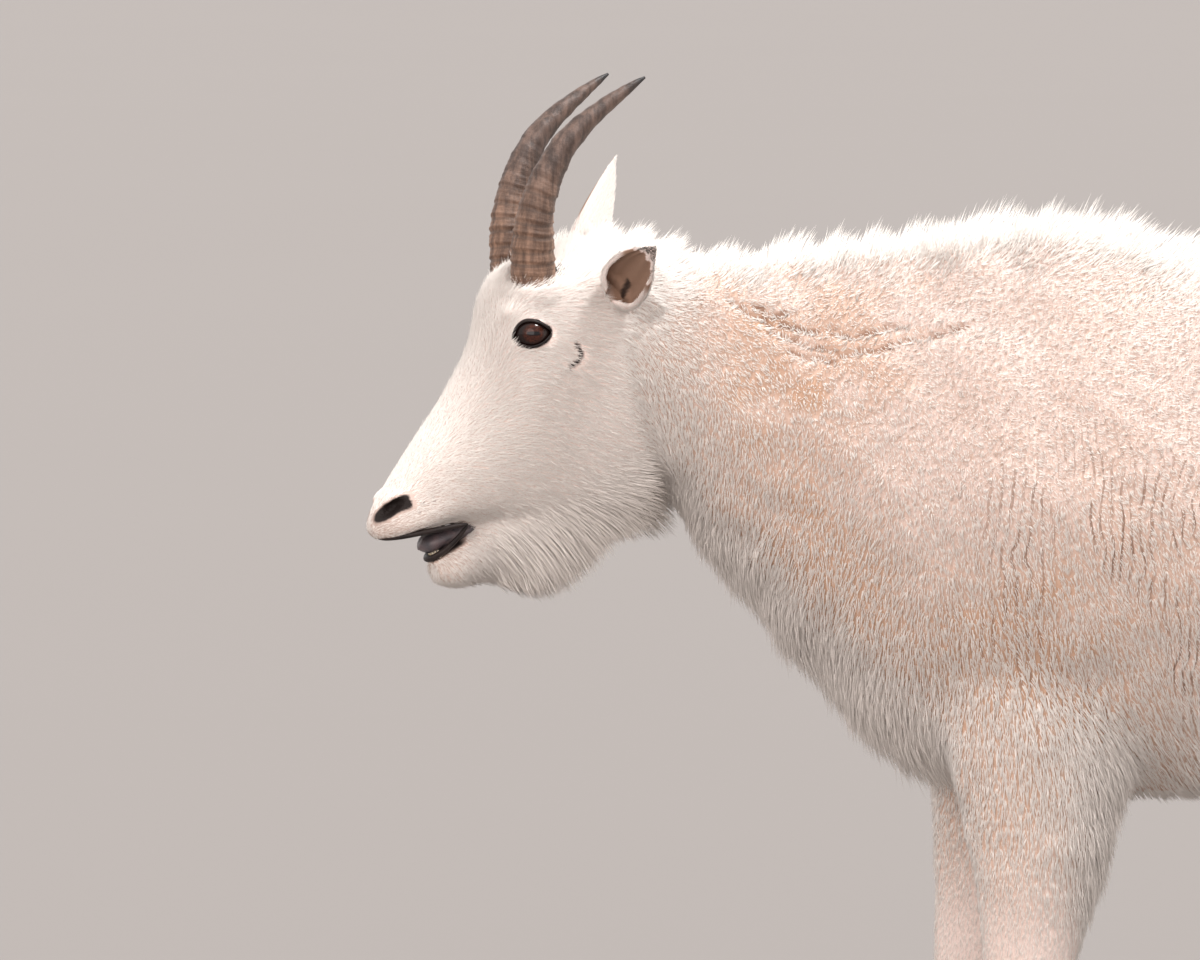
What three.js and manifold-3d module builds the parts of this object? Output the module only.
// A mountain goat billy in summer coat, grazing with its head held low, life size.
// Millimetres, +Z up. It faces -X and its left side is towards -Y. The origin is under the middle of the
// whole animal's box, on the ground that its hooves stand on.
import * as THREE from "three";
import { mergeVertices } from "three/addons/utils/BufferGeometryUtils.js";
import Module from "manifold-3d";

const wasm = await Module();
wasm.setup();

// Driving sizes. The tables of sections below are laid out for a goat of LAYOUT_HEIGHT at the withers.
const WITHERS_HEIGHT = 1000;
const LAYOUT_HEIGHT = 1000;
const SCALE = WITHERS_HEIGHT / LAYOUT_HEIGHT;
const GAP = 0.3; // the clearance that neighbouring pieces keep
const HEAD_TURN = 20; // degrees that the head looks to the left of the body
const HEAD_AT = [-387, -32]; // x and y of the upright axis, behind the ears, that the head turns on
const HEAD_PLANE = 5; // the head is parted from the neck this far behind that axis
const NECK_CUT = { top: [-125, 1000], bottom: [-215, 540] };
const FORELEG_CUT = { top: [-200, 447], bottom: [100, 447] };
const HINDLEG_CUT = { top: [540, 578], bottom: [800, 655] };
const TAIL_CUT = { top: [786, 860], bottom: [764, 780] };
const KNEE_CUT = { top: [-200, 262], bottom: [100, 262] };
const HOCK_CUT = { top: [640, 268], bottom: [780, 268] };
const EYE = { x: -123, side: 59, z: 884, radius: 18.5, lid: 3.2, wide: 35, high: 22 };
const EAR = { x: -47, side: 56, z: 916, length: 130, wide: 55, deep: 30, wall: 5 };
const HORN_AT = { x: -112, side: 27, z: 940, spread: 7 };
const HOOF_TOP = 50;
const LEVELS = [0.15, 0.5, 0.85]; // where, from a section's top to its bottom, its three half widths are

// Sections of the trunk, from inside the head to the rump: the top and bottom points in the side view, the
// half widths at LEVELS, and in the neck how far the section stands from the middle plane and turns.
const TRUNK = [
  { top: [-452, 936], bottom: [-440, 800], y: -50, turn: 20, wide: [36, 52, 38] },
  { top: [-415, 960], bottom: [-405, 740], y: -40, turn: 18, wide: [50, 75, 55] },
  { top: [-345, 953], bottom: [-350, 698], y: -24, turn: 12, wide: [54, 88, 63] },
  { top: [-270, 955], bottom: [-290, 632], y: -10, turn: 6, wide: [60, 105, 76] },
  { top: [-190, 962], bottom: [-222, 556], y: -3, turn: 2, wide: [68, 130, 94] },
  { top: [-105, 976], bottom: [-158, 492], wide: [76, 157, 114] },
  { top: [-15, 984], bottom: [-66, 459], wide: [82, 178, 126] },
  { top: [80, 966], bottom: [58, 453], wide: [92, 190, 132] },
  { top: [190, 927], bottom: [190, 460], wide: [116, 200, 142] },
  { top: [320, 903], bottom: [320, 474], wide: [136, 205, 146] },
  { top: [450, 897], bottom: [450, 500], wide: [142, 200, 138] },
  { top: [570, 894], bottom: [570, 550], wide: [138, 182, 116] },
  { top: [670, 876], bottom: [675, 612], wide: [118, 154, 98] },
  { top: [750, 838], bottom: [755, 668], wide: [84, 114, 82] },
  { top: [796, 790], bottom: [800, 712], wide: [42, 58, 44] },
];

// The skull with the upper jaw, in the head's own frame: x runs back from the nose to the axis HEAD_AT.
const SKULL = [
  { top: [72, 930], bottom: [70, 790], wide: [22, 40, 30] },
  { top: [36, 956], bottom: [45, 752], wide: [44, 67, 50] },
  { top: [0, 969], bottom: [0, 722], wide: [52, 75, 58] },
  { top: [-48, 971], bottom: [-26, 703], wide: [55, 73, 58] },
  { top: [-100, 957], bottom: [-60, 692], wide: [54, 67, 54] },
  { top: [-143, 932], bottom: [-95, 690], wide: [46, 60, 47] },
  { top: [-162, 875], bottom: [-124, 699], wide: [33, 51, 42] },
  { top: [-188, 828], bottom: [-150, 707], wide: [24, 43, 38] },
  { top: [-219, 783], bottom: [-181, 711], wide: [22, 35, 34] },
  { top: [-242, 748], bottom: [-210, 705], wide: [20, 31, 31] },
  { top: [-255, 726], bottom: [-236, 699], wide: [16, 26, 24] },
  { top: [-260, 711], bottom: [-252, 698], wide: [8, 14, 11] },
];

const JAW = [
  { top: [-30, 830], bottom: [-5, 715], wide: [34, 50, 40] },
  { top: [-72, 800], bottom: [-46, 690], wide: [38, 52, 38] },
  { top: [-112, 762], bottom: [-88, 675], wide: [35, 45, 31] },
  { top: [-142, 730], bottom: [-126, 666], wide: [29, 36, 25] },
  { top: [-168, 707], bottom: [-157, 658], wide: [24, 30, 22] },
  { top: [-188, 690], bottom: [-179, 653], wide: [19, 25, 20] },
  { top: [-202, 680], bottom: [-196, 658], wide: [11, 16, 12] },
];

// Legs, from inside the trunk to the hoof: front and rear points in the side view in place of top and bottom.
const FORELEG = [
  { top: [-130, 645], bottom: [35, 645], y: 82, wide: [34, 54, 36] },
  { top: [-128, 560], bottom: [50, 565], y: 93, wide: [42, 60, 44] },
  { top: [-112, 490], bottom: [50, 500], y: 104, wide: [41, 57, 42] },
  { top: [-98, 420], bottom: [32, 425], y: 108, wide: [35, 49, 36] },
  { top: [-90, 350], bottom: [10, 350], y: 108, wide: [29, 41, 29] },
  { top: [-86, 295], bottom: [-6, 295], y: 108, wide: [26, 36, 26] },
  { top: [-80, 245], bottom: [-12, 245], y: 108, wide: [22, 31, 22] },
  { top: [-73, 185], bottom: [-17, 185], y: 108, wide: [19, 26, 19] },
  { top: [-73, 125], bottom: [-15, 120], y: 108, wide: [20, 28, 20] },
  { top: [-80, 94], bottom: [-12, 84], y: 108, wide: [23, 33, 23] },
  { top: [-97, 58], bottom: [-28, 46], y: 108, wide: [24, 34, 24] },
];
const HINDLEG = [
  { top: [600, 795], bottom: [735, 795], y: 60, wide: [28, 46, 32] },
  { top: [560, 705], bottom: [785, 728], y: 86, wide: [50, 78, 56] },
  { top: [545, 610], bottom: [790, 645], y: 98, wide: [54, 80, 60] },
  { top: [552, 530], bottom: [772, 562], y: 100, wide: [46, 68, 50] },
  { top: [582, 458], bottom: [752, 482], y: 100, wide: [36, 54, 40] },
  { top: [628, 388], bottom: [750, 408], y: 100, wide: [28, 42, 32] },
  { top: [662, 328], bottom: [762, 350], y: 100, wide: [22, 33, 26] },
  { top: [676, 285], bottom: [764, 300], y: 100, wide: [21, 31, 24] },
  { top: [676, 238], bottom: [742, 242], y: 100, wide: [19, 28, 20] },
  { top: [668, 180], bottom: [724, 180], y: 100, wide: [17, 25, 17] },
  { top: [660, 122], bottom: [718, 119], y: 100, wide: [18, 27, 18] },
  { top: [650, 92], bottom: [716, 82], y: 100, wide: [22, 31, 22] },
  { top: [634, 58], bottom: [702, 46], y: 100, wide: [23, 33, 23] },
];
const TAIL = [
  { top: [742, 842], bottom: [735, 800], wide: [13, 18, 13] },
  { top: [790, 828], bottom: [772, 786], wide: [18, 25, 18] },
  { top: [818, 792], bottom: [786, 762], wide: [21, 30, 20] },
  { top: [830, 745], bottom: [794, 738], wide: [20, 29, 19] },
  { top: [829, 704], bottom: [802, 702], wide: [13, 19, 12] },
  { top: [820, 678], bottom: [812, 678], wide: [4, 6, 4] },
];
// One claw of a foot, from the coronet to the sole, measured from the front of the pastern's lower end.
const CLAW = [
  { top: [3, HOOF_TOP], bottom: [62, HOOF_TOP], y: 17, wide: [9, 14.5, 11] },
  { top: [-9, 26], bottom: [61, 26], y: 18.5, wide: [9, 16, 13] },
  { top: [-22, 0], bottom: [62, 0], y: 20, wide: [8, 17, 14] },
];

// Stands: how far each foot is set forward of where the tables have it.
const LEGS = {
  foreleg_left: { sections: FORELEG, side: -1, forward: -14 },
  foreleg_right: { sections: FORELEG, side: 1, forward: 62 },
  hindleg_left: { sections: HINDLEG, side: -1, forward: 46 },
  hindleg_right: { sections: HINDLEG, side: 1, forward: -30 },
};

const scaled = (n) => n * SCALE;
const toRadians = THREE.MathUtils.degToRad;
const V = (x, y, z) => new THREE.Vector3(x, y, z);

// A closed solid from shared points and triangles, with its faces turned outwards.
function solidOf(points, triangles) {
  const make = (faces) =>
    new wasm.Manifold(new wasm.Mesh({
      numProp: 3,
      vertProperties: new Float32Array(points),
      triVerts: new Uint32Array(faces),
    }));
  const solid = make(triangles);
  if (solid.volume() > 0) return solid;
  const turned = [];
  for (let i = 0; i < triangles.length; i += 3) turned.push(triangles[i], triangles[i + 2], triangles[i + 1]);
  return make(turned);
}

// A closed solid from a three.js geometry that is already in place.
function solidOfGeometry(geometry) {
  const bare = geometry.clone();
  bare.deleteAttribute("normal");
  bare.deleteAttribute("uv");
  const merged = mergeVertices(bare, 1e-3);
  return solidOf(merged.attributes.position.array, merged.index.array);
}

const union = (solids) => solids.reduce((all, one) => all.add(one));

// The largest body of a solid, without the scraps that a cut can leave.
const largest = (solid) =>
  solid.decompose().reduce((best, one) => (one.volume() > best.volume() ? one : best));

// A smooth body drawn through a table of sections.
class Loft {
  constructor(sections) {
    const line = (pick) =>
      new THREE.CatmullRomCurve3(sections.map((s) => V(...pick(s))), false, "catmullrom", 0.5);
    this.count = sections.length;
    this.top = line((s) => [scaled(s.top[0]), 0, scaled(s.top[1])]);
    this.bottom = line((s) => [scaled(s.bottom[0]), 0, scaled(s.bottom[1])]);
    this.stand = line((s) => [scaled(s.y ?? 0), toRadians(s.turn ?? 0), 0]);
    this.wide = line((s) => s.wide.map(scaled));
  }

  // The closed curve of the section at u, from 0 at the first section to 1 at the last.
  section(u, grow = 0) {
    const top = this.top.getPoint(u);
    const bottom = this.bottom.getPoint(u);
    const along = bottom.clone().sub(top).normalize().multiplyScalar(grow);
    top.sub(along);
    bottom.add(along);
    const { x: y, y: turn } = this.stand.getPoint(u);
    const side = V(-Math.sin(turn), Math.cos(turn), 0);
    const wide = this.wide.getPoint(u).toArray().map((w) => w + grow);
    const at = (level, offset) =>
      top.clone().lerp(bottom, level).addScaledVector(side, offset).add(V(0, y, 0));
    const right = LEVELS.map((level, i) => at(level, wide[i]));
    const left = LEVELS.map((level, i) => at(level, -wide[i])).reverse();
    return new THREE.CatmullRomCurve3([at(0, 0), ...right, at(1, 0), ...left], true, "catmullrom", 0.5);
  }

  // A point on the surface. v runs round the section: 0 on top, 0.25 on the right, 0.5 below, 0.75 on the left.
  point(u, v) {
    return this.section(u).getPoint(v);
  }

  normal(u, v) {
    const step = 0.004;
    const round = this.point(u, v + step).sub(this.point(u, v - step + 1));
    const along = this.point(Math.min(1, u + step), v).sub(this.point(Math.max(0, u - step), v));
    return round.cross(along).normalize();
  }

  solid({ rings, sides, grow = 0 }) {
    const points = [];
    const faces = [];
    for (let r = 0; r <= rings; r++) {
      const section = this.section(r / rings, grow);
      for (let s = 0; s < sides; s++) points.push(...section.getPoint(s / sides).toArray());
    }
    const corner = (r, s) => r * sides + (s % sides);
    for (let r = 0; r < rings; r++)
      for (let s = 0; s < sides; s++)
        faces.push(corner(r, s), corner(r + 1, s), corner(r + 1, s + 1),
          corner(r, s), corner(r + 1, s + 1), corner(r, s + 1));
    for (const [r, flip] of [[0, false], [rings, true]]) {
      const middle = points.length / 3;
      const section = this.section(r / rings, grow);
      points.push(...section.getPoint(0).add(section.getPoint(0.5)).multiplyScalar(0.5).toArray());
      for (let s = 0; s < sides; s++)
        faces.push(middle, ...(flip ? [corner(r, s + 1), corner(r, s)] : [corner(r, s), corner(r, s + 1)]));
    }
    return solidOf(points, faces);
  }
}

// What lies on one side of the upright plane seen edge-on as the line through two points of the side view.
function partOf(solid, { top: a, bottom: b }, towards, shift = 0) {
  let normal = V(b[1] - a[1], 0, a[0] - b[0]).normalize();
  if (normal.dot(V(...towards)) < 0) normal = normal.negate();
  return solid.trimByPlane(normal.toArray(), scaled(normal.x * a[0] + normal.z * a[1]) + shift);
}
const FRONT = [-1, 0, 0];
const BACK = [1, 0, 0];
const ABOVE = [0, 0, 1];
const BELOW = [0, 0, -1];

// The head's own frame, carried to its place on the neck.
const headFrame = new THREE.Matrix4()
  .makeTranslation(scaled(HEAD_AT[0]), scaled(HEAD_AT[1]), 0)
  .multiply(new THREE.Matrix4().makeRotationZ(toRadians(HEAD_TURN)));
const placeOnHead = (solid) => solid.transform(headFrame.elements);
const facing = V(-Math.cos(toRadians(HEAD_TURN)), -Math.sin(toRadians(HEAD_TURN)), 0);

function headPlane(solid, forward, shift) {
  const at = V(scaled(HEAD_PLANE), 0, 0).applyMatrix4(headFrame);
  const normal = forward ? facing : facing.clone().negate();
  return solid.trimByPlane(normal.toArray(), normal.dot(at) + shift);
}

function ellipsoid(at, radii, turn = [0, 0, 0], detail = [14, 10]) {
  const geometry = new THREE.SphereGeometry(1, ...detail)
    .rotateX(Math.PI / 2)
    .applyMatrix4(new THREE.Matrix4().makeScale(...radii.map(scaled)))
    .applyMatrix4(new THREE.Matrix4().makeRotationFromEuler(new THREE.Euler(...turn.map(toRadians))))
    .translate(...at.map(scaled));
  return solidOfGeometry(geometry);
}

// Eyes. Each ball looks out sideways and a little forward, under lids that are raised on the head.
const eyeOut = (side) => V(-0.26, side * 0.955, 0.08).normalize();
function eyeCentre(side) {
  return V(EYE.x, side * EYE.side, EYE.z).multiplyScalar(SCALE)
    .addScaledVector(eyeOut(side), -scaled(EYE.radius));
}
function eyeBall(side, grow = 0) {
  const geometry = new THREE.SphereGeometry(scaled(EYE.radius) + grow, 14, 9).translate(...eyeCentre(side));
  return solidOfGeometry(geometry);
}
function eyeOpening(side) {
  const half = scaled(EYE.wide) / 2;
  const rise = scaled(EYE.high) * 0.62;
  const almond = new THREE.Shape()
    .moveTo(-half, -rise * 0.35)
    .bezierCurveTo(-half * 0.9, rise * 1.15, half * 0.1, rise * 1.2, half, rise * 0.1)
    .bezierCurveTo(half * 0.5, -rise * 1.05, -half * 0.45, -rise * 1.1, -half, -rise * 0.35);
  const geometry = new THREE.ExtrudeGeometry(almond, { depth: scaled(EYE.radius) * 2, bevelEnabled: false, curveSegments: 6 });
  const out = eyeOut(side);
  const back = V(1, 0, 0).addScaledVector(out, -out.x).normalize();
  const up = out.clone().cross(back).multiplyScalar(-side);
  if (up.z < 0) up.negate();
  geometry.applyMatrix4(new THREE.Matrix4().makeBasis(back, up, out).setPosition(eyeCentre(side)));
  return solidOfGeometry(geometry);
}

// The line through a horn, from inside the head to the tip, with the radius there.
const HORN = [
  { at: [1, -18], radius: 21 },
  { at: [0, 0], radius: 21 },
  { at: [-1, 27], radius: 19.6 },
  { at: [1, 54], radius: 16.8 },
  { at: [9.4, 82], radius: 14.6 },
  { at: [23.4, 109.4], radius: 12.4 },
  { at: [44.6, 133], radius: 9.8 },
  { at: [70, 153], radius: 6.6 },
  { at: [88, 165.5], radius: 3.8 },
  { at: [99, 172.5], radius: 1.2 },
];
const hornLine = new THREE.CatmullRomCurve3(HORN.map(({ at }) => V(at[0], 0, at[1])), false, "catmullrom", 0.5);
const hornRadius = new THREE.CatmullRomCurve3(HORN.map(({ radius }) => V(radius, 0, 0)), false, "catmullrom", 0.5);

// Horns: rings round that line, leaning out from the middle, with low ridges of yearly growth near the root.
function hornSolid(side, grow = 0) {
  const rings = 18;
  const sides = 10;
  const points = [];
  const faces = [];
  for (let r = 0; r <= rings; r++) {
    const u = r / rings;
    const centre = hornLine.getPoint(u);
    const along = hornLine.getTangent(u);
    const ridge = r > 3 && r < 9 && r % 2 ? 0.8 : 0;
    const radius = hornRadius.getPoint(u).x + ridge + grow / SCALE;
    for (let s = 0; s < sides; s++) {
      const turn = (2 * Math.PI * s) / sides;
      const across = V(along.z, 0, -along.x).multiplyScalar(radius * Math.cos(turn));
      points.push(centre.clone().add(across).add(V(0, 0.93 * radius * Math.sin(turn), 0)));
    }
  }
  const ends = [hornLine.getPoint(0).sub(V(0, 0, grow)), hornLine.getPoint(1).add(V(1, 0, 1))];
  points.push(...ends);
  const corner = (r, s) => r * sides + (s % sides);
  const root = points.length - 2;
  for (let r = 0; r < rings; r++)
    for (let s = 0; s < sides; s++)
      faces.push(corner(r, s), corner(r + 1, s), corner(r + 1, s + 1),
        corner(r, s), corner(r + 1, s + 1), corner(r, s + 1));
  for (let s = 0; s < sides; s++)
    faces.push(root, corner(0, s), corner(0, s + 1), root + 1, corner(rings, s + 1), corner(rings, s));
  const place = new THREE.Matrix4().makeScale(SCALE, SCALE, SCALE)
    .multiply(new THREE.Matrix4().makeTranslation(HORN_AT.x, side * HORN_AT.side, HORN_AT.z))
    .multiply(new THREE.Matrix4().makeRotationX(-side * toRadians(HORN_AT.spread)));
  return solidOf(points.flatMap((p) => p.applyMatrix4(place).toArray()), faces);
}

// Ears: a leaf with a scoop taken out of the side that it opens to, set by the way it points and opens.
const EAR_POSES = {
  ear_left: { side: -1, points: [0.318, -0.863, 0.392], opens: [-0.62, -0.55, -0.35] },
  ear_right: { side: 1, points: [0.343, 0.23, 0.91], opens: [-0.75, 0.66, 0.05] },
};
function leaf(length, wide, deep, start) {
  const rings = 8;
  const sides = 10;
  const points = [];
  const faces = [];
  for (let r = 0; r <= rings; r++) {
    const t = r / rings;
    const swell = Math.sin(Math.PI * Math.min(1, 0.16 + 0.84 * t) ** 0.78) ** 0.85;
    const w = Math.max(0.8, (wide / 2) * swell);
    const d = Math.max(0.6, (deep / 2) * swell * (1 - 0.45 * t));
    for (let s = 0; s < sides; s++) {
      const turn = (2 * Math.PI * s) / sides;
      points.push(start + length * t, w * Math.sin(turn), d * Math.cos(turn));
    }
  }
  const corner = (r, s) => r * sides + (s % sides);
  for (let r = 0; r < rings; r++)
    for (let s = 0; s < sides; s++)
      faces.push(corner(r, s), corner(r + 1, s), corner(r + 1, s + 1),
        corner(r, s), corner(r + 1, s + 1), corner(r, s + 1));
  const ends = points.length / 3;
  points.push(start, 0, 0, start + length, 0, 0);
  for (let s = 0; s < sides; s++)
    faces.push(ends, corner(0, s), corner(0, s + 1), ends + 1, corner(rings, s + 1), corner(rings, s));
  return solidOf(points, faces);
}
function placeEar(ear, { side, points, opens }) {
  const along = V(...points).normalize();
  const open = V(...opens);
  open.addScaledVector(along, -open.dot(along)).normalize();
  const frame = new THREE.Matrix4().makeBasis(along, open.clone().cross(along), open);
  const root = V(scaled(EAR.x), side * scaled(EAR.side), scaled(EAR.z)).applyMatrix4(headFrame);
  return ear.scale([SCALE, SCALE, SCALE]).transform(frame.setPosition(root).elements);
}
function earSolid(pose) {
  const { length, wide, deep, wall } = EAR;
  const scoop = leaf(length * 0.86 - wall, wide - 2 * wall, deep * 1.5, length * 0.16)
    .translate([0, 0, deep * 0.55]);
  return placeEar(leaf(length, wide, deep, 0).subtract(scoop), pose);
}
// The space of a whole ear, cup and all, that hair keeps clear of.
function earRoom(pose) {
  return placeEar(leaf(EAR.length + 2, EAR.wide + 2, EAR.deep + 2, -1), pose);
}

// The head's flesh without its eyes, horns and ears.
function headCore(grow = 0) {
  const skull = new Loft(SKULL).solid({ rings: 20, sides: 18, grow });
  const jaw = new Loft(JAW).solid({ rings: 10, sides: 12, grow });
  return skull.add(jaw);
}

// A closed hoop of round section through points, for the swollen rims of the lips.
function hoop(points, radius, segments) {
  const line = new THREE.CatmullRomCurve3(points.map((p) => V(...p.map(scaled))), true, "catmullrom", 0.5);
  return solidOfGeometry(new THREE.TubeGeometry(line, segments, scaled(radius), 5, true));
}
const UPPER_LIP = [[-182, 33, 712], [-206, 30, 707], [-234, 24, 701], [-252, 12, 699]];
const LOWER_LIP = [[-176, 27, 706], [-190, 20, 691], [-201, 10, 682]];
function lip(points, front, back, segments, grow) {
  const mirrored = points.map(([x, y, z]) => [x, -y, z]).reverse();
  return hoop([...points, front, ...mirrored, back], 3 + grow, segments);
}
// The rims of the lips, and the row of lower teeth.
function mouthParts(grow = 0) {
  return [
    lip(UPPER_LIP, [-258, 0, 700], [-196, 0, 716], 18, grow),
    lip(LOWER_LIP, [-204, 0, 680], [-170, 0, 700], 14, grow),
    ellipsoid([-198, 0, 684], [4 + grow, 11 + grow, 7 + grow], [0, 20, 0], [8, 5]),
  ];
}

function headFlesh() {
  const flesh = [headCore()];
  for (const side of [-1, 1]) {
    flesh.push(ellipsoid([-116, side * 36, 902], [33, 18, 18], [0, -15, side * 10], [10, 7]));
    flesh.push(ellipsoid([-108, side * 27, 914], [32, 28, 24], [0, 0, 0], [10, 7]));
    flesh.push(solidOfGeometry(new THREE.SphereGeometry(scaled(EYE.radius + EYE.lid), 14, 9)
      .translate(...eyeCentre(side))));
    flesh.push(ellipsoid([-238, side * 18, 732], [15, 11, 10], [0, -38, side * 20], [9, 6]));
  }
  let head = union([...flesh, ...mouthParts()]);
  for (const side of [-1, 1]) {
    head = head.subtract(eyeOpening(side)).subtract(eyeBall(side, GAP));
    head = head.subtract(ellipsoid([-246, side * 26, 730], [16.5, 9, 3.6], [0, -36, side * 24], [10, 6]));
  }
  return head;
}

// A draw in [-1, 1] that is the same at every run.
let seed = 7;
function vary() {
  seed = (seed * 16807) % 2147483647;
  return (2 * seed) / 2147483647 - 1;
}
const curveThrough = (points) =>
  new THREE.CatmullRomCurve3(points.map((p) => V(...p.map(scaled))), false, "catmullrom", 0.5);

// One lock of hair: a flat diamond that tapers from a sunk root, bends at `via` and ends at a point. Its flat
// sides look along `face`.
const LOCK_RINGS = [[0, 1], [0.45, 0.95], [0.8, 0.6]];
function lock(root, via, tip, face, width, thick) {
  const bend = new THREE.QuadraticBezierCurve3(root, via, tip);
  const points = [];
  for (const [t, share] of LOCK_RINGS) {
    const across = bend.getTangent(t).cross(face).normalize().multiplyScalar((scaled(width) / 2) * share);
    const through = face.clone().normalize().multiplyScalar((scaled(thick) / 2) * share);
    const centre = bend.getPoint(t);
    for (const offset of [across, through, across.clone().negate(), through.clone().negate()])
      points.push(...centre.clone().add(offset).toArray());
  }
  points.push(...tip.toArray());
  const faces = [0, 1, 2, 0, 2, 3];
  for (let ring = 0; ring < 2; ring++)
    for (let k = 0; k < 4; k++) {
      const [a, b] = [ring * 4 + k, ring * 4 + ((k + 1) % 4)];
      faces.push(a, b + 4, b, a, a + 4, b + 4);
    }
  for (let k = 0; k < 4; k++) faces.push(8 + k, 12, 8 + ((k + 1) % 4));
  return solidOf(points, faces);
}

// Rows of locks between a curve of roots and a curve of tips, each row at its own distance `off` to the side.
function lockRows({ roots, tips, bulge, face, rows, count, width, thick, jitter }) {
  const rootLine = curveThrough(roots);
  const tipLine = curveThrough(tips);
  const locks = [];
  rows.forEach(({ off, spread = off, lift = 0 }, row) => {
    for (let i = 0; i < count; i++) {
      const share = Math.min(1, Math.max(0, (i + 0.5 * (row % 2) + 0.25 + 0.2 * vary()) / count));
      const root = rootLine.getPoint(share).add(V(0, scaled(off), scaled(lift)));
      const tip = tipLine.getPoint(share).add(V(0, scaled(spread), scaled(lift)));
      tip.add(V(vary(), vary(), vary()).multiplyScalar(scaled(jitter)));
      const via = root.clone().lerp(tip, 0.5).add(V(...bulge.map(scaled)));
      const looks = V(...face).normalize().add(V(vary(), vary(), vary()).multiplyScalar(0.12));
      locks.push(lock(root, via, tip, looks, width * (1 + 0.12 * vary()), thick));
    }
  });
  return union(locks);
}

// The crest of standing hair from the poll to behind the withers.
const CREST_TIPS = [
  [-474, -58, 974], [-448, -50, 984], [-412, -40, 982], [-365, -28, 968], [-300, -14, 964], [-240, -7, 968],
  [-170, -2, 973], [-110, 0, 985], [-50, 0, 994], [10, 0, 998], [60, 0, 987], [115, 0, 962], [190, 0, 937],
  [265, 0, 916],
];
function crest() {
  return lockRows({
    roots: CREST_TIPS.map(([x, y, z]) => [x - 44, y, z - 30]),
    tips: CREST_TIPS,
    bulge: [-8, 0, 5],
    face: [-0.5, 0, 1],
    rows: [{ off: -21, lift: -5 }, { off: 0 }, { off: 21, lift: -5 }],
    count: 14,
    width: 38,
    thick: 13,
    jitter: 3,
  });
}

// The beard hangs from chin and throat and sweeps back. In the head's own frame.
function beard() {
  return lockRows({
    roots: [[-150, 0, 670], [-122, 0, 678], [-95, 0, 686], [-68, 0, 697], [-38, 0, 716]],
    tips: [[-130, 0, 650], [-100, 0, 640], [-74, 0, 643], [-48, 0, 660], [-20, 0, 694]],
    bulge: [-5, 0, -8],
    face: [0, 1, 0],
    rows: [
      { off: -21, spread: -15, lift: 5 }, { off: -7, spread: -5 }, { off: 8, spread: 6 },
      { off: 22, spread: 16, lift: 5 },
    ],
    count: 6,
    width: 27,
    thick: 15,
    jitter: 3,
  });
}

// The fringe under the throat and on the brisket.
function throatFringe() {
  return lockRows({
    roots: [[-352, -26, 708], [-296, -13, 642], [-228, -4, 568], [-166, 0, 504], [-96, 0, 472]],
    tips: [[-327, -24, 668], [-267, -10, 597], [-200, -3, 525], [-128, 0, 470], [-48, 0, 448]],
    bulge: [-7, 0, -7],
    face: [-0.75, 0, -0.66],
    rows: [{ off: -27, lift: 5 }, { off: 0 }, { off: 27, lift: 5 }],
    count: 5,
    width: 44,
    thick: 14,
    jitter: 3,
  });
}

// The breeches behind the upper legs, along the rear line of a leg's own table.
function breeches(sections, { from, to, count }) {
  const rear = sections.slice(from, to).map((s) => [s.bottom[0], s.y, s.bottom[1]]);
  return lockRows({
    roots: rear.map(([x, y, z]) => [x - 13, y, z]),
    tips: rear.map(([x, y, z]) => [x + 6, y, z - 70]),
    bulge: [8, 0, 2],
    face: [1, 0, 0.35],
    rows: [{ off: -14 }, { off: 14 }],
    count,
    width: 36,
    thick: 14,
    jitter: 3,
  });
}

// The tail's hair, down its outer side to its tip.
function tailFringe() {
  return lockRows({
    roots: [[804, 0, 800], [812, 0, 762], [812, 0, 725], [808, 0, 700]],
    tips: [[836, 0, 750], [838, 0, 712], [830, 0, 678], [820, 0, 655]],
    bulge: [6, 0, 4],
    face: [1, 0, 0.35],
    rows: [{ off: -12, spread: -8 }, { off: 12, spread: 8 }],
    count: 3,
    width: 28,
    thick: 13,
    jitter: 2,
  });
}

const tongueSections = [
  { top: [-162, 716], bottom: [-158, 700], wide: [10, 15, 10] },
  { top: [-186, 709], bottom: [-182, 693], wide: [12, 17, 12] },
  { top: [-204, 703], bottom: [-198, 686], wide: [12, 16, 11] },
  { top: [-215, 694], bottom: [-208, 684], wide: [7, 10, 7] },
];

// The trunk with the upper ends of the legs and the root of the tail.
const trunk = new Loft(TRUNK);
const tail = new Loft(TAIL);

// A leg's table, mirrored to its side and sheared so that its foot stands forward.
function legSections({ sections, side, forward }) {
  const reach = (z) => (-forward * Math.max(0, 640 - z)) / 640;
  return sections.map((s) => ({
    ...s,
    y: s.y * side,
    top: [s.top[0] + reach(s.top[1]), s.top[1]],
    bottom: [s.bottom[0] + reach(s.bottom[1]), s.bottom[1]],
  }));
}

function clawSections(leg, inner) {
  const foot = legSections(leg).at(-1);
  return CLAW.map((s, i) => ({
    ...s,
    top: [foot.top[0] + s.top[0], s.top[1] + (i ? 0 : 4)],
    bottom: [foot.top[0] + s.bottom[0], s.bottom[1] + (i ? 0 : -6)],
    y: foot.y + s.y * inner,
  }));
}

function dewClaw(leg, inner, grow = 0) {
  const fetlock = legSections(leg).at(-2);
  return ellipsoid([fetlock.bottom[0] - 1, fetlock.y + 15 * inner, fetlock.bottom[1] - 8],
    [11 + grow, 8 + grow, 15 + grow], [0, 28, 0], [7, 5]);
}

const materials = {
  coat: { color: 0xe9dfd6, roughness: 0.95 },
  horn: { color: 0x4a3f3b, roughness: 0.45 },
  eye: { color: 0x2c1712, roughness: 0.08 },
  hoof: { color: 0x2b2725, roughness: 0.55 },
  tongue: { color: 0x4a4148, roughness: 0.4 },
};

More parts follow.
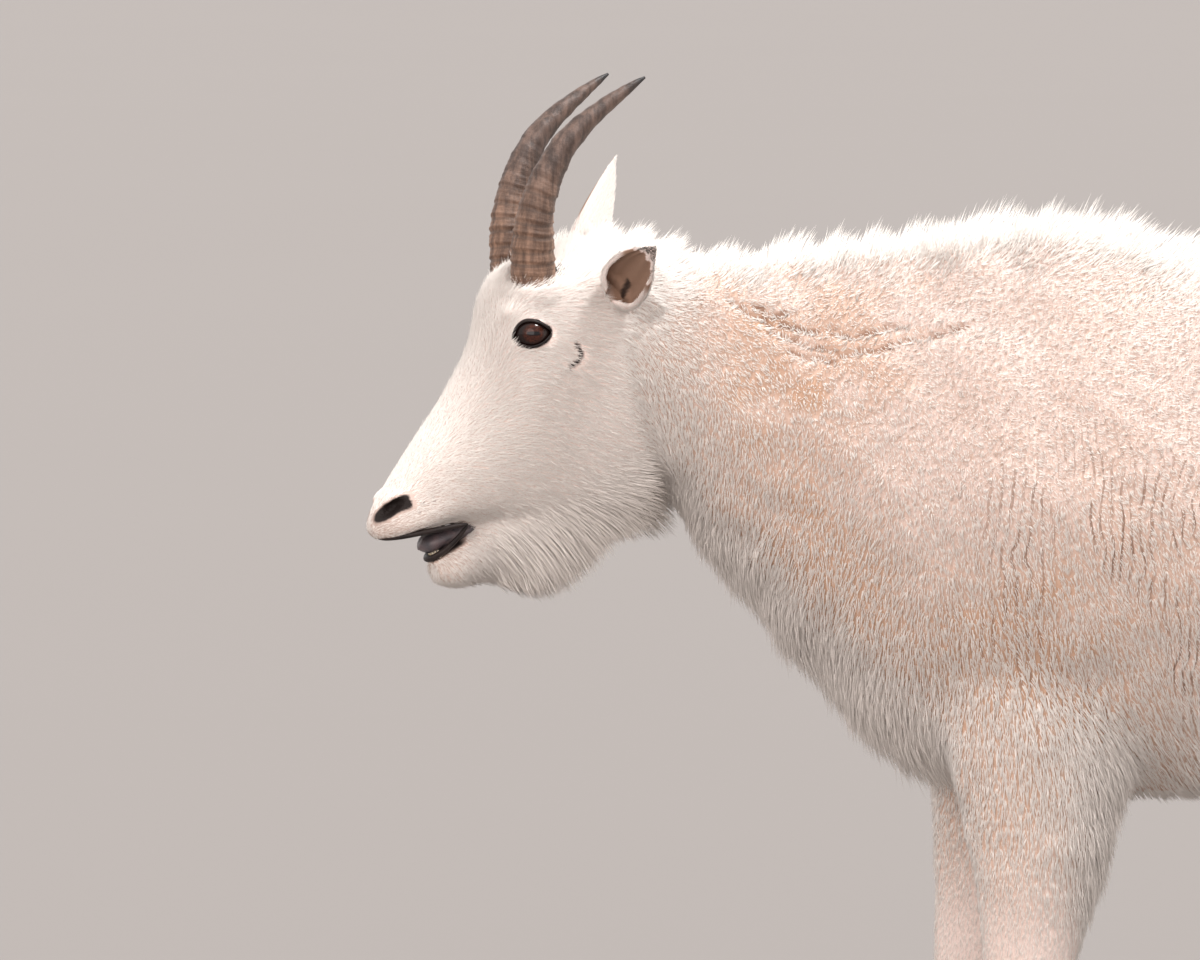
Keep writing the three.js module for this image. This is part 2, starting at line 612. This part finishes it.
const goat = new THREE.Group();
goat.name = "mountain_goat";
function addNode(name, solid, material) {
  const { vertProperties, triVerts, numProp } = largest(solid).getMesh();
  const positions = [];
  for (let i = 0; i < vertProperties.length; i += numProp) positions.push(...vertProperties.subarray(i, i + 3));
  const geometry = new THREE.BufferGeometry()
    .setAttribute("position", new THREE.Float32BufferAttribute(positions, 3))
    .setIndex(new THREE.Uint32BufferAttribute(triVerts, 1));
  geometry.computeVertexNormals();
  const mesh = new THREE.Mesh(geometry, new THREE.MeshStandardMaterial({ metalness: 0, ...materials[material] }));
  mesh.name = name;
  goat.add(mesh);
}

const earRooms = union(Object.values(EAR_POSES).map(earRoom));
const trunkSolid = union([trunk.solid({ rings: 30, sides: 20 }), crest().subtract(earRooms), throatFringe()]);
const headAndNeck = placeOnHead(headFlesh().add(beard()))
  .add(partOf(trunkSolid, NECK_CUT, FRONT, GAP))
  .subtract(placeOnHead(hornSolid(-1, GAP).add(hornSolid(1, GAP))));
const ears = Object.entries(EAR_POSES).map(([name, pose]) => [name, earSolid(pose)]);
const headCoreGrown = placeOnHead(headCore(GAP));

addNode("head", headPlane(headAndNeck, true, 0), "coat");
addNode("neck", headPlane(headAndNeck, false, GAP), "coat");
for (const [name, ear] of ears) addNode(name, ear.subtract(headCoreGrown), "coat");
for (const [name, side] of [["left", -1], ["right", 1]]) {
  addNode(`eye_${name}`, placeOnHead(eyeBall(side)), "eye");
  addNode(`horn_${name}`, placeOnHead(hornSolid(side)), "horn");
}
addNode("tongue", placeOnHead(new Loft(tongueSections).solid({ rings: 4, sides: 8 })
  .subtract(union([headCore(GAP), ...mouthParts(GAP)]))), "tongue");

const body = [partOf(trunkSolid, NECK_CUT, BACK)];
const trunkGrown = trunk.solid({ rings: 30, sides: 20, grow: GAP });
for (const [name, leg] of Object.entries(LEGS)) {
  const fore = leg.sections === FORELEG;
  const sections = legSections(leg);
  const whole = new Loft(sections).solid({ rings: 18, sides: 12 })
    .add(breeches(sections, fore ? { from: 2, to: 5, count: 3 } : { from: 2, to: 6, count: 4 }));
  const [shoulder, knee] = fore ? [FORELEG_CUT, KNEE_CUT] : [HINDLEG_CUT, HOCK_CUT];
  body.push(partOf(whole, shoulder, ABOVE));
  const claws = [-1, 1].map((inner) => [inner > 0 === leg.side > 0 ? "outer" : "inner", inner]);
  let free = partOf(whole, shoulder, BELOW, GAP).subtract(trunkGrown);
  for (const [, inner] of claws) free = free.subtract(dewClaw(leg, inner, GAP));
  addNode(`${name}_upper`, partOf(free, knee, ABOVE), "coat");
  addNode(`${name}_lower`, partOf(free, knee, BELOW, GAP), "coat");
  for (const [which, inner] of claws) {
    addNode(`hoof_${name}_${which}`, new Loft(clawSections(leg, inner)).solid({ rings: 2, sides: 10 }), "hoof");
    addNode(`dewclaw_${name}_${which}`, dewClaw(leg, inner), "hoof");
  }
}
const tailSolid = tail.solid({ rings: 8, sides: 10 }).add(tailFringe());
body.push(partOf(tailSolid, TAIL_CUT, FRONT));
addNode("torso", union(body), "coat");
addNode("tail", partOf(tailSolid, TAIL_CUT, BACK, GAP).subtract(trunkGrown), "coat");

// The origin is moved under the middle of the whole box.
const box = new THREE.Box3().setFromObject(goat);
goat.position.set(-(box.min.x + box.max.x) / 2, -(box.min.y + box.max.y) / 2, -box.min.z);

export default goat;
